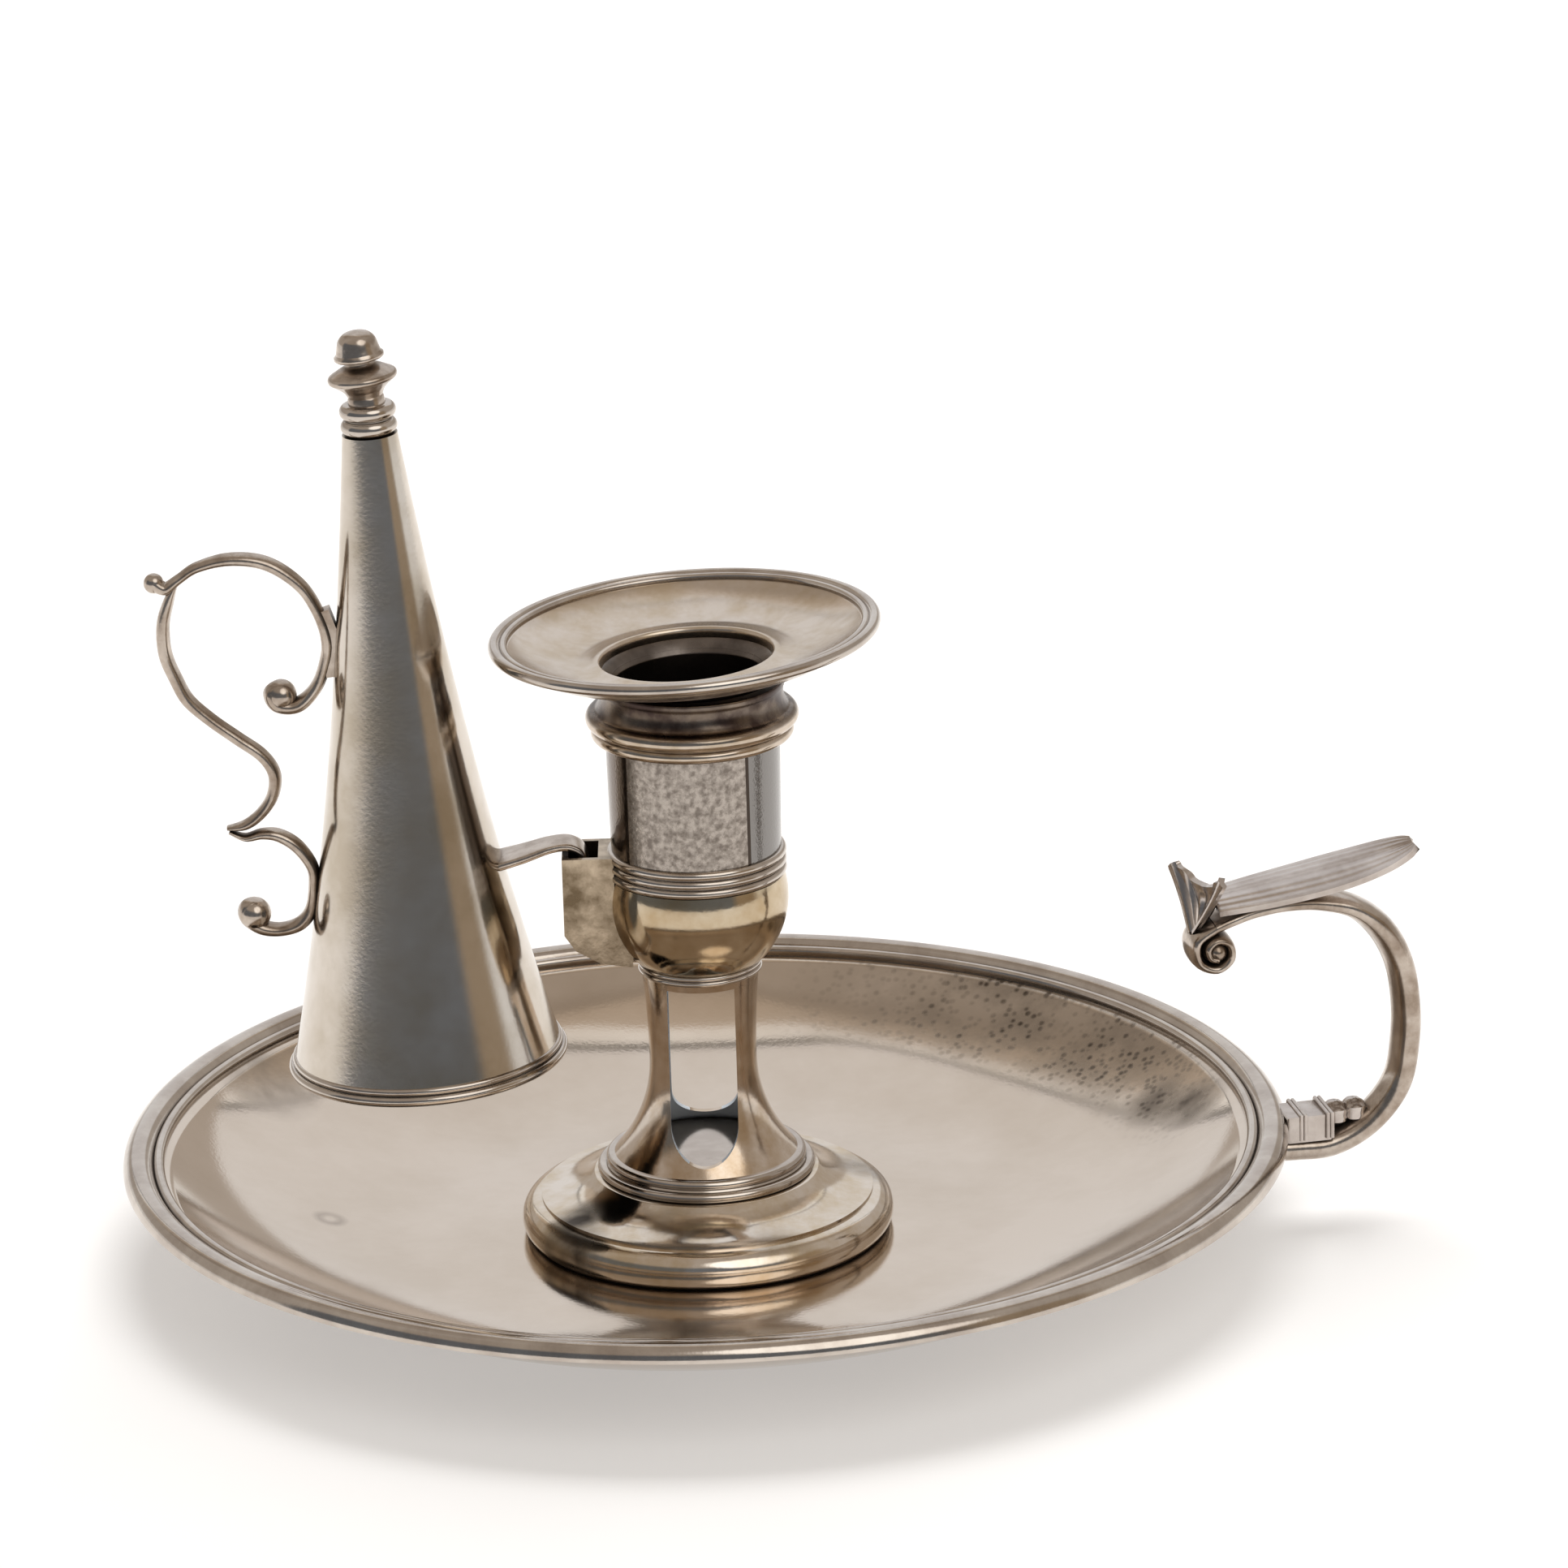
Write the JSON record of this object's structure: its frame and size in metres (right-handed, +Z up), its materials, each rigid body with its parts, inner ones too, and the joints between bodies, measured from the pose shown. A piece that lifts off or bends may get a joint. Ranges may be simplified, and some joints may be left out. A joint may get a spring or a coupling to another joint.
{
  "type": "chamberstick",
  "caption": "Silver chamberstick: round dished pan, pierced stem with a lift-out nozzle, scroll handle with thumb-piece, and a conical snuffer hooked on the socket.",
  "frame": {"origin": "centre of the pan's underside, on the table", "axes": "+Z up along the stem, +X towards the pan's scroll handle, -X towards the snuffer, +Y to the back"},
  "size_m": [0.1675, 0.15, 0.1219],
  "materials": {
    "sheet_silver": "old polished silver, softly worn, with brown tarnish in the creases",
    "cast_silver": "old cast silver, duller, with darker tarnish"
  },
  "bodies": {
    "stick": {"pan": "sheet_silver", "rim_moulding": "sheet_silver", "foot": "sheet_silver", "foot_ring": "sheet_silver", "stem": "sheet_silver", "stem_collar": "sheet_silver", "socket_bowl": "sheet_silver", "girdle": "sheet_silver", "socket_drum": "sheet_silver", "socket_top": "sheet_silver", "hook_bracket": "cast_silver", "handle_root": "cast_silver", "handle_scroll": "cast_silver", "thumb_piece": "cast_silver"},
    "nozzle": {"nozzle_tube": "sheet_silver", "nozzle_pan": "sheet_silver", "nozzle_rim": "sheet_silver"},
    "snuffer": {"snuffer_cone": "sheet_silver", "mouth_ring": "sheet_silver", "snuffer_collar": "sheet_silver", "finial": "cast_silver", "snuffer_handle": "cast_silver", "snuffer_spur": "cast_silver", "snuffer_hook": "cast_silver"}
  },
  "joints": [
    {"name": "nozzle_lift", "type": "slide", "parent": "stick", "child": "nozzle", "axis": [0, 0, 1], "range_m": [0, 0.03]},
    {"name": "snuffer_lift", "type": "slide", "parent": "stick", "child": "snuffer", "axis": [0, 0, 1], "range_m": [0, 0.012]}
  ]
}
